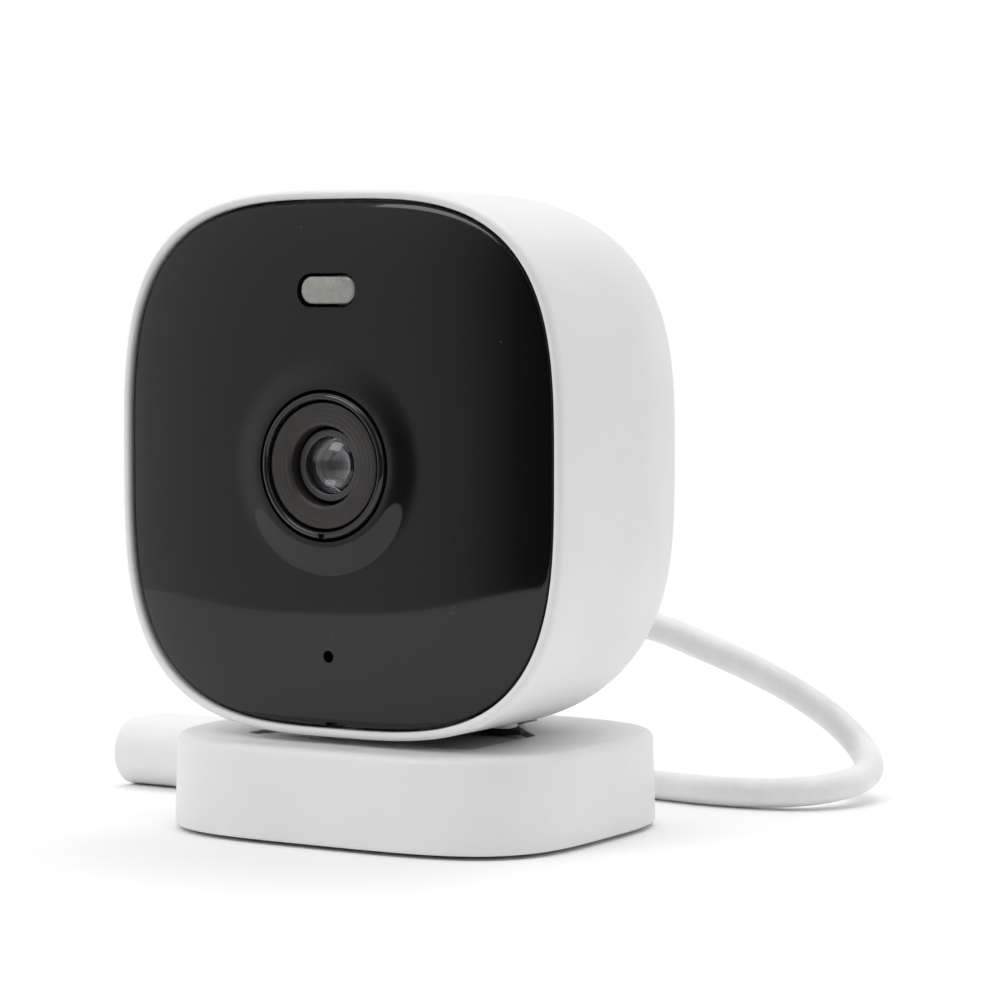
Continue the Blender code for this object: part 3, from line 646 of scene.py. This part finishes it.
def make_connector():
    """The in-line connector at the cord's far end: a soft moulded shell round a pressed steel port."""

    def section(extra, x):
        width, height = CONNECTOR_SIZE
        radius = height / 2 + extra - 0.02
        centre = (CONNECTOR_Y, CONNECTOR_Z)
        outline = rounded_rectangle(width + 2 * extra, height + 2 * extra, radius, 14, centre)
        return [(x, y, z) for y, z in outline]

    right = CONNECTOR_RIGHT
    rings = []
    for i in range(13):
        t = i / 12
        rings.append(section(-1.9 * (1 - math.sin(t * math.pi / 2)) ** 1.2, right - 3.4 * t**1.3))
    left = CONNECTOR_LEFT
    for i in range(9):
        t = math.radians(90 * i / 8)
        rings.append(section(-0.45 * (1 - math.cos(t)), left + 0.45 * (1 - math.sin(t))))
    shell = link("connector_moulding", skin(rings))
    centre = (CONNECTOR_Y, CONNECTOR_Z)
    cut(shell, prism(rounded_rectangle(9.3, 3.5, 1.7, 12, centre), "X", left - 1, left + 7.6))
    finish_piece(shell, "base", ["connector_shell"], WHITE, 45)
    sleeve = rounded_rectangle(8.7, 2.9, 1.4, 12, centre)
    port = link("connector_sleeve", prism(sleeve, "X", left + 0.2, left + 7.2))
    cut(port, prism(rounded_rectangle(8.2, 2.4, 1.15, 12, centre), "X", left - 1, left + 6.6))
    soften(port, 0.06, 2)
    finish_piece(port, "base", ["connector_port"], STEEL)
    blade = rounded_rectangle(6.6, 0.7, 0.3, 6, centre)
    tongue = link("connector_blade", prism(blade, "X", left + 0.8, left + 6.3))
    soften(tongue, 0.08, 2)
    finish_piece(tongue, "base", ["connector_tongue"], CHIP)
    return [shell, port, tongue]


def make_cord():
    """One cord in three stretches, upper, middle and lower, cut from one smooth line so that their ends meet.
    """
    line = smooth_curve(CORD_ROUTE, CORD_POINTS)
    last = CORD_POINTS - 1
    upper_end, middle_end, lift_start = (round(last * share) for share in (UPPER_END, MIDDLE_END, LIFT_START))
    ends = make_connector()
    radius = CORD_D / 2
    stretches = [
        ("cord_upper", 0, upper_end, ("hinge_core", "head"), (upper_end, CORD_HELD), "object", []),
        ("cord_middle", upper_end, middle_end, ("arm", "hinge_core"), (middle_end, upper_end), "object", []),
        ("cord_lower", middle_end, last, ("base", "arm"), (lift_start, middle_end), "connector", ends),
    ]
    for name, first, end, bodies, span, far_end, pieces in stretches:
        piece = tube(name, line, first, end, radius)
        piece.data.name = name
        piece.data.shade_smooth()
        piece.data.set_sharp_from_angle(angle=math.radians(50))
        piece.data.materials.append(CORD)
        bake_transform(piece)
        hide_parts("cord")


def make_strain_relief():
    """A tapered boot with rounded ribs round the cord."""
    profile = [(0.0, 11.0), (2.3, 11.0), (2.3, 15.7), (2.22, 16.1), (2.05, 16.3)]
    for i in range(4):
        y = 16.5 + i * 1.0
        r = 2.08 - 0.09 * i
        profile += [(r - 0.22, y), (r - 0.05, y + 0.12), (r, y + 0.3), (r, y + 0.5), (r - 0.05, y + 0.68)]
        profile += [(r - 0.22, y + 0.8)]
    profile += [(1.68, 20.42), (1.55, 20.5), (0.0, 20.5)]
    boot = link("strain_relief_boot", turned("Y", (0, CORD_EXIT_Z), profile, 64))
    finish_piece(boot, "head", ["strain_relief"], CORD, 50)


make_cord()
make_strain_relief()


# ---------------------------------------------------------------- stand
def base_ring(inset, z, count=176):
    half_x, half_y = BASE_HALF[0] - inset, BASE_HALF[1] - inset
    return [(x, BASE_Y + y, z) for x, y in even_superellipse(half_x, half_y, BASE_CURVE, count)]


def nose_side(gap, end, steps=24):
    """The right side of the recess where it narrows: a slanted shoulder that turns into the channel."""
    return arc(CHANNEL_HALF + NOSE_R, NOSE_Y, NOSE_R + gap, 225, end, steps)


def both_sides(right):
    return right + [(-x, y) for x, y in reversed(right)]


def recess_outline():
    """Seen from above: wide at the fold hinge, then a channel for the arm, with a rounded nose between."""
    right = arc(RECESS_HALF - 1.2, RECESS_FRONT + 1.2, 1.2, 270, 360, 12)
    for inset, rise in ((0.0, 0.0), (0.08, 0.3), (0.3, 0.55)):
        right.append((RECESS_HALF - inset, SHOULDER_Y + rise))
    right += nose_side(0.0, 180)
    right += arc(CHANNEL_HALF - 1.2, CHANNEL_REAR - 1.2, 1.2, 0, 90, 12)
    return both_sides(right)


def make_base_shell():
    rings = [base_ring(UNDER_INSET, UNDER_TOP), base_ring(UNDER_INSET, BASE_BOTTOM)]
    for i in range(5):
        t = math.radians(90 * i / 4)
        rings.append(base_ring(0.35 * (1 - math.sin(t)), BASE_BOTTOM + 0.35 * (1 - math.cos(t))))
    for i in range(1, 6):
        t = i / 6
        rings.append(base_ring(0.2 * t, BASE_BOTTOM + 0.35 + (BASE_TOP - 0.9 - BASE_BOTTOM - 0.35) * t))
    for i in range(9):
        t = math.radians(90 * i / 8)
        rings.append(base_ring(0.2 + 0.85 * (1 - math.cos(t)), BASE_TOP - 0.9 * (1 - math.sin(t))))
    for inset in (1.8, 3.2, 5.4):
        rings.append(base_ring(inset, BASE_TOP))
    shell = link("base_moulding", skin(rings))
    cut(shell, prism(recess_outline(), "Z", RECESS_FLOOR, BASE_TOP + 3))
    fold = (FOLD_Y, AXIS_Z)
    foot = block((-KNUCKLE_HALF, KNUCKLE_HALF), (RECESS_FRONT - 1, FOLD_Y), (RECESS_FLOOR - 0.5, AXIS_Z))
    join(shell, rod("X", fold, BARREL_R, -KNUCKLE_HALF, KNUCKLE_HALF), foot)
    cut(
        shell,
        rod("X", fold, BORE_R, -RECESS_HALF - 2.2, RECESS_HALF + 2.2),
        block((-4.6, -3.3), (RECESS_FRONT - 0.2, -10.0), (8.55, 10)),
    )
    soften(shell, 0.16, 3, 50)
    finish_piece(shell, "base", ["base_shell"], WHITE, 30)


def make_arm():
    side = [(ARM_HALF, FOLD_Y), (ARM_HALF, SHOULDER_Y - 0.4), (ARM_HALF - 0.6, SHOULDER_Y + 0.5)]
    side += nose_side(0.5, 194)
    arm = link("arm_moulding", prism(both_sides(side), "Z", *ARM_Z))
    fold, tilt = (FOLD_Y, AXIS_Z), (TILT_Y, AXIS_Z)
    join(
        arm,
        rod("X", fold, BARREL_R, -ARM_HALF + 0.05, ARM_HALF - 0.05),
        rod("X", tilt, BARREL_R, -ARM_NARROW_HALF + 0.05, ARM_NARROW_HALF - 0.05),
    )
    room = KNUCKLE_HALF + 0.3
    window = (ARM_WINDOW_FRONT, TILT_Y + 4)
    cut(
        arm,
        block((-room, room), (FOLD_Y - 4, FOLD_Y + BARREL_R + 0.35), (0, 20)),
        block((-ARM_WINDOW_HALF, ARM_WINDOW_HALF), window, (0, 20)),
        rod("X", fold, BORE_R, -20, 20),
        rod("X", tilt, BORE_R, -20, 20),
    )
    soften(arm, 0.22, 3, 50)
    finish_piece(arm, "arm", ["stand_arm"], STAND, 30)


def make_neck():
    """The dark block between the hinge and the head: a thin flange, a boss for the screws and a knuckle."""
    neck = link("neck_moulding", block(NECK_X, NECK_Y, NECK_Z))
    half = NECK_KNUCKLE_HALF
    tilt = (TILT_Y, AXIS_Z)
    side = [(NECK_FLANGE_HALF, NECK_FLANGE_Y), (NECK_FLANGE_HALF, NECK_FLANGE_Y + 0.8)]
    side += nose_side(0.6, 182) + [(6.05, 7.35)]
    join(
        neck,
        prism(both_sides(side), "Z", 9.41, 9.9),
        block((-half, half), (TILT_Y - BARREL_R, TILT_Y + BARREL_R), (AXIS_Z, 10.0)),
        rod("X", tilt, BARREL_R, -half + 0.05, half - 0.05),
    )
    screws = [(-NECK_SCREW_X, NECK_SCREW_Y), (NECK_SCREW_X, NECK_SCREW_Y)]
    cut(neck, rod("X", tilt, BORE_R, -20, 20), *[rod("Z", at, NECK_SCREW_R, 11.2, 20, 24) for at in screws])
    soften(neck, 0.12, 2, 50)
    finish_piece(neck, "head", ["neck"], FRAME, 30)


def make_foot():
    rings = []
    for inset, z in ((3.8, 0.0), (3.55, 0.05), (3.42, 0.18), (3.4, 0.35), (3.4, 0.6)):
        rings.append(base_ring(inset, z, 120))
    foot = link("foot_skin", skin(rings))
    finish_piece(foot, "base", ["foot_pad"], FOOT)


make_base_shell()
make_arm()
make_neck()
make_foot()


# ---------------------------------------------------------------- head
def head_ring(inset, y, count=208):
    outline = even_superellipse(HEAD_HALF_X - inset, HEAD_HALF_Z - inset, HEAD_CURVE, count)
    return [(x, y, HEAD_Z + z) for x, z in outline]


def rear_inset(share):
    """How far the rounded rear has come in, at a share of the way from its start to the rear face."""
    return REAR_INSET * (1 - (1 - share**REAR_CURVE) ** (1 / REAR_CURVE))


def make_head_shell():
    """One skin: from the rear inside, forward along the inner wall, round the front lip and back outside."""
    rear_length = REAR_Y - REAR_START_Y
    inner_length = rear_length - WALL
    rings = []
    for share in (1.0, 0.93, 0.72, 0.4, 0.0):
        rings.append(head_ring(rear_inset(share) + WALL + 0.2, REAR_START_Y + share * inner_length))
    rings += [head_ring(WALL + 0.2, LEDGE_Y), head_ring(OPENING_INSET, LEDGE_Y)]
    rings += [head_ring(OPENING_INSET, LIP_Y + 0.5), head_ring(OPENING_INSET, LIP_Y + 0.2)]
    rings += [head_ring(0.78, LIP_Y + 0.07), head_ring(0.66, LIP_Y + 0.01), head_ring(0.5, LIP_Y)]
    for i in range(1, 10):
        t = math.radians(90 * i / 9)
        rings.append(head_ring(0.45 * (1 - math.sin(t)), LIP_Y + 0.85 * (1 - math.cos(t))))
    for i in range(1, 12):
        rings.append(head_ring(0.0, LIP_Y + 0.85 + (REAR_START_Y - LIP_Y - 0.85) * i / 11))
    steps = 40
    for i in range(1, steps + 1):
        share = math.sin(math.radians(90 * i / steps))
        rings.append(head_ring(rear_inset(min(share, 1.0)), REAR_START_Y + share * rear_length))
    for inset in (1.0, 2.4, 4.4, 7.0, 10.5):
        rings.append(head_ring(REAR_INSET + inset, REAR_Y))
    shell = link("head_moulding", skin(rings))
    holes = [
        block(NECK_HOLE_X, NECK_HOLE_Y, (8.4, 16.6)),
        rod("Y", (0, CORD_EXIT_Z), 2.65, 8, 18),
        rod("Z", BUTTON_AT, 2.3, 8, 14),
        prism(rounded_rectangle(CARD_SIZE[0] + 0.6, CARD_SIZE[1] + 0.6, 1.3, 10, CARD_AT), "Z", 8, 14),
    ]
    for column in (-1, 0, 1):
        for row in (-1, 0, 1):
            centre = (3.2 * column, HEAD_Z + SPEAKER_UP + 2.6 * row)
            holes.append(prism(rounded_rectangle(2.0, 1.0, 0.48, 8, centre), "Y", 11, 18))
    cut(shell, *holes)
    finish_piece(shell, "head", ["head_shell"], WHITE, 40)


def panel_front(share, radius):
    """How far the panel's face stands in front of its edge: a shallow dome, with a low mound at the lens."""
    dome = PANEL_BULGE * (1 - share**5)
    if radius >= MOUND_R:
        return dome
    t = (MOUND_R - radius) / (MOUND_R - LENS_HOLE_R)
    return dome + MOUND_HEIGHT * t * t * (3 - 2 * t)


def make_front_panel():
    half_x = HEAD_HALF_X - OPENING_INSET - 0.25
    half_z = HEAD_HALF_Z - OPENING_INSET - 0.25
    count = 288
    edge = even_superellipse(half_x, half_z, HEAD_CURVE, count)
    inner = [(LENS_HOLE_R * u / math.hypot(u, v), LENS_HOLE_R * v / math.hypot(u, v)) for u, v in edge]

    def ring(mix, y=None, back=0.0):
        points = []
        for (eu, ev), (iu, iv) in zip(edge, inner):
            u, v = iu + (eu - iu) * mix, iv + (ev - iv) * mix
            share = mix + (1 - mix) * LENS_HOLE_R / math.hypot(eu, ev)
            depth = PANEL_EDGE_Y - panel_front(share, math.hypot(u, v)) + back if y is None else y
            points.append((u, depth, HEAD_Z + v))
        return points

    rings = [ring(1.0, PANEL_BACK_Y), ring(1.0, PANEL_EDGE_Y + 0.3)]
    rings += [ring(0.9985, back=0.12), ring(0.994, back=0.03)]
    steps = 46
    rings += [ring(0.985 * (1 - i / steps)) for i in range(steps)]
    rings += [ring(0.0, back=0.05), ring(0.0, PANEL_BACK_Y)]
    panel = link("panel_face", skin(rings, loop=True))
    width, height = WINDOW_SIZE
    window = rounded_rectangle(width + 0.6, height + 0.6, 1.5, 14, (0, HEAD_Z + WINDOW_Z))
    seam = HEAD_Z - half_z
    cut(
        panel,
        prism(window, "Y", -25, -10),
        rod("Y", (0, HEAD_Z + MIC_Z), MIC_R, -25, -10, 40),
        block((-1.1, 1.1), (-19, -14), (seam - 1, seam + 0.35)),
    )
    finish_piece(panel, "head", ["front_panel"], GLOSS, 32)


def make_window():
    width, height = WINDOW_SIZE
    rings = []
    centre = (0, HEAD_Z + WINDOW_Z)
    edge = [(0.0, -16.6), (0.0, -18.38), (0.06, -18.47), (0.18, -18.53), (0.4, -18.55), (0.8, -18.56)]
    for inset, y in edge:
        outline = rounded_rectangle(width - 2 * inset, height - 2 * inset, 1.25 - inset, 14, centre)
        rings.append([(x, y, z) for x, z in outline])
    pane = link("window_pane", skin(rings))
    finish_piece(pane, "head", ["light_window"], WINDOW)


def make_lens():
    centre = (0, HEAD_Z)
    ring_profile = [(6.9, -16.0), (6.9, -19.3), (6.88, -19.42), (6.82, -19.54), (6.72, -19.64)]
    ring_profile += [(6.6, -19.71), (6.47, -19.74), (6.36, -19.7), (6.28, -19.62), (6.22, -19.5)]
    ring_profile += [(6.19, -19.36), (6.18, -19.2), (6.18, -16.0)]
    ring = link("ring_face", turned("Y", centre, ring_profile, 160, loop=True))
    cut(ring, block((-0.35, 0.35), (-20.5, -19.2), (HEAD_Z - 7.3, HEAD_Z - 6.4)))
    finish_piece(ring, "head", ["lens_ring"], RING, 40)
    bezel_profile = [(5.98, -17.2), (5.98, -19.18), (5.95, -19.28), (5.88, -19.34), (5.78, -19.36)]
    bezel_profile += [(5.0, -19.33), (4.2, -19.28), (3.98, -19.26), (3.87, -19.2), (3.79, -19.1)]
    bezel_profile += [(3.76, -18.9), (3.75, -17.2)]
    bezel = link("bezel_face", turned("Y", centre, bezel_profile, 144, loop=True))
    finish_piece(bezel, "head", ["lens_bezel"], BEZEL, 45)
    barrel_profile = [(3.42, -6.6), (3.42, -18.1), (3.4, -18.2), (3.33, -18.25), (2.82, -18.25)]
    barrel_profile += [(2.75, -18.2), (2.72, -17.0), (2.35, -16.9), (2.3, -16.6), (1.95, -16.5)]
    barrel_profile += [(1.9, -16.25), (1.6, -16.15), (1.55, -15.9), (1.25, -15.8), (1.2, -15.6)]
    barrel_profile += [(0.95, -15.5), (0.9, -15.3), (2.4, -15.2), (2.4, -6.6)]
    barrel = link("barrel_turned", turned("Y", centre, barrel_profile, 128, loop=True))
    finish_piece(barrel, "head", ["lens_barrel"], BARREL, 30)

    def cap(radius, apex, edge, steps):
        """A spherical face from the apex to the edge, as a profile."""
        sag = edge - apex
        bend = (radius * radius + sag * sag) / (2 * sag)
        points = []
        for i in range(steps + 1):
            r = radius * i / steps
            points.append((r, apex + bend - math.sqrt(bend**2 - r**2)))
        return points

    front = cap(2.65, -18.75, -17.85, 20)
    rear = [(2.65, -17.1), (2.2, -16.95), (1.2, -16.75), (0.0, -16.7)]
    dome = link("glass_dome", turned("Y", centre, front + rear, 128))
    finish_piece(dome, "head", ["lens_glass"], GLASS, 50)
    element = cap(2.1, -15.15, -14.6, 12) + [(2.1, -14.0), (1.2, -13.55), (0.0, -13.4)]
    inner = link("glass_element", turned("Y", centre, element, 96))
    finish_piece(inner, "head", ["lens_inner_element"], INNER_GLASS, 50)


def make_controls():
    x, y = BUTTON_AT
    profile = [(0.0, 10.32), (1.2, 10.3), (1.7, 10.32), (1.88, 10.4), (1.98, 10.52), (2.0, 10.7)]
    profile += [(2.0, 12.9), (1.2, 13.1), (1.2, 14.6), (0.0, 14.6)]
    button = link("button_cap", turned("Z", (x, y), profile, 64))
    finish_piece(button, "button", ["setup_button"], BUTTON, 45)
    outline = rounded_rectangle(*CARD_SIZE, 1.0, 10, CARD_AT)
    plug = link("cover_plug", prism(outline, "Z", 10.75, 13.2))
    soften(plug, 0.25, 4, 50)
    finish_piece(plug, "head", ["card_cover"], COVER, 40)


make_head_shell()
make_front_panel()
make_window()
make_lens()
make_controls()


# ---------------------------------------------------------------- carried-over nodes
NODE_LOOKS = {
    "base_bottom_plate": PLATE,
    "light_board": BOARD,
    "sensor_board": BOARD,
    "main_board": BOARD,
    "inner_frame": FRAME,
    "button_switch": FRAME,
    "speaker": FRAME,
    "image_sensor": CHIP,
    "processor": CHIP,
    "fold_pin": PIN,
    "tilt_pin": PIN,
    "light_led": LED,
    "antenna": COPPER,
    **{f"infrared_led_{i}": INFRARED_LED for i in range(1, 5)},
}


def dress_nodes():
    """Gives each node that still shows its look. The fasteners and plates are steel."""
    for name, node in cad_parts.items():
        if node.hide_render:
            continue
        for slot in node.material_slots:
            slot.material = NODE_LOOKS.get(name, STEEL)


dress_nodes()


# ---------------------------------------------------------------- studio
FLOOR_R = 170.0
FLOOR_DEPTH = 2.0


def make_floor():
    look = Look("floor", (0.95, 0.95, 0.95), 0.8)
    cloud = look.range(look.noise(60.0, 3.0), 0.3, 0.7, 0.0, 1.0)
    look.paint(look.mix(cloud, (0.945, 0.945, 0.945), (0.955, 0.955, 0.955)))
    outline = arc(0, 0, FLOOR_R, 0, 360, 96)[:-1]
    floor = link("floor", prism(outline, "Z", -FLOOR_DEPTH, 0.0))
    floor.data.materials.append(look.material)


def make_world():
    """A white room whose front is dim, so that the glossy panel stays dark towards its right side."""
    world = bpy.data.worlds.new("studio")
    bpy.context.scene.world = world
    world.use_nodes = True
    tree = world.node_tree
    back = tree.nodes["Background"]
    way = tree.nodes.new("ShaderNodeTexCoord").outputs["Generated"]
    dot = tree.nodes.new("ShaderNodeVectorMath")
    dot.operation = "DOT_PRODUCT"
    dot.inputs[1].default_value = Vector((0.45, -0.89, -0.05)).normalized()
    tree.links.new(way, dot.inputs[0])
    ramp = tree.nodes.new("ShaderNodeValToRGB")
    stops = [(0.0, 0.84), (0.25, 0.82), (0.42, 0.72), (0.56, 0.6), (0.72, 0.2), (0.85, 0.04), (1.0, 0.04)]
    ramp.color_ramp.interpolation = "B_SPLINE"
    while len(ramp.color_ramp.elements) < len(stops):
        ramp.color_ramp.elements.new(0.5)
    for stop, (at, value) in zip(ramp.color_ramp.elements, stops):
        stop.position = at
        stop.color = (value, value, value, 1.0)
    tree.links.new(dot.outputs["Value"], ramp.inputs["Fac"])
    path = tree.nodes.new("ShaderNodeLightPath")
    seen = tree.nodes.new("ShaderNodeMath")
    seen.operation = "MAXIMUM"
    tree.links.new(path.outputs["Is Camera Ray"], seen.inputs[0])
    tree.links.new(ramp.outputs["Color"], seen.inputs[1])
    tree.links.new(seen.outputs["Value"], back.inputs["Strength"])
    back.inputs["Color"].default_value = (1.0, 1.0, 1.0, 1.0)


def area_light(name, location, target, size, power, colour=(1, 1, 1)):
    data = bpy.data.lights.new(name, "AREA")
    data.shape = "RECTANGLE"
    data.size, data.size_y = size
    data.energy = power
    data.color = colour
    lamp = bpy.data.objects.new(name, data)
    lamp.location = Vector(location)
    direction = Vector(location) - Vector(target)
    lamp.rotation_euler = direction.to_track_quat("Z", "Y").to_euler()
    bpy.context.scene.collection.objects.link(lamp)


def make_lights():
    centre = (0.0, 0.0, 0.03)
    area_light("key", (-0.3, -0.8, 0.85), centre, (0.62, 0.5), 3.6)
    area_light("top", (0.1, 0.2, 1.2), centre, (1.0, 1.0), 5.8)
    area_light("fill", (1.0, -0.5, 0.55), centre, (0.5, 0.5), 0.6, (0.86, 0.91, 1.0))


make_floor()
make_world()
make_lights()
bpy.context.scene.view_settings.view_transform = "Standard"
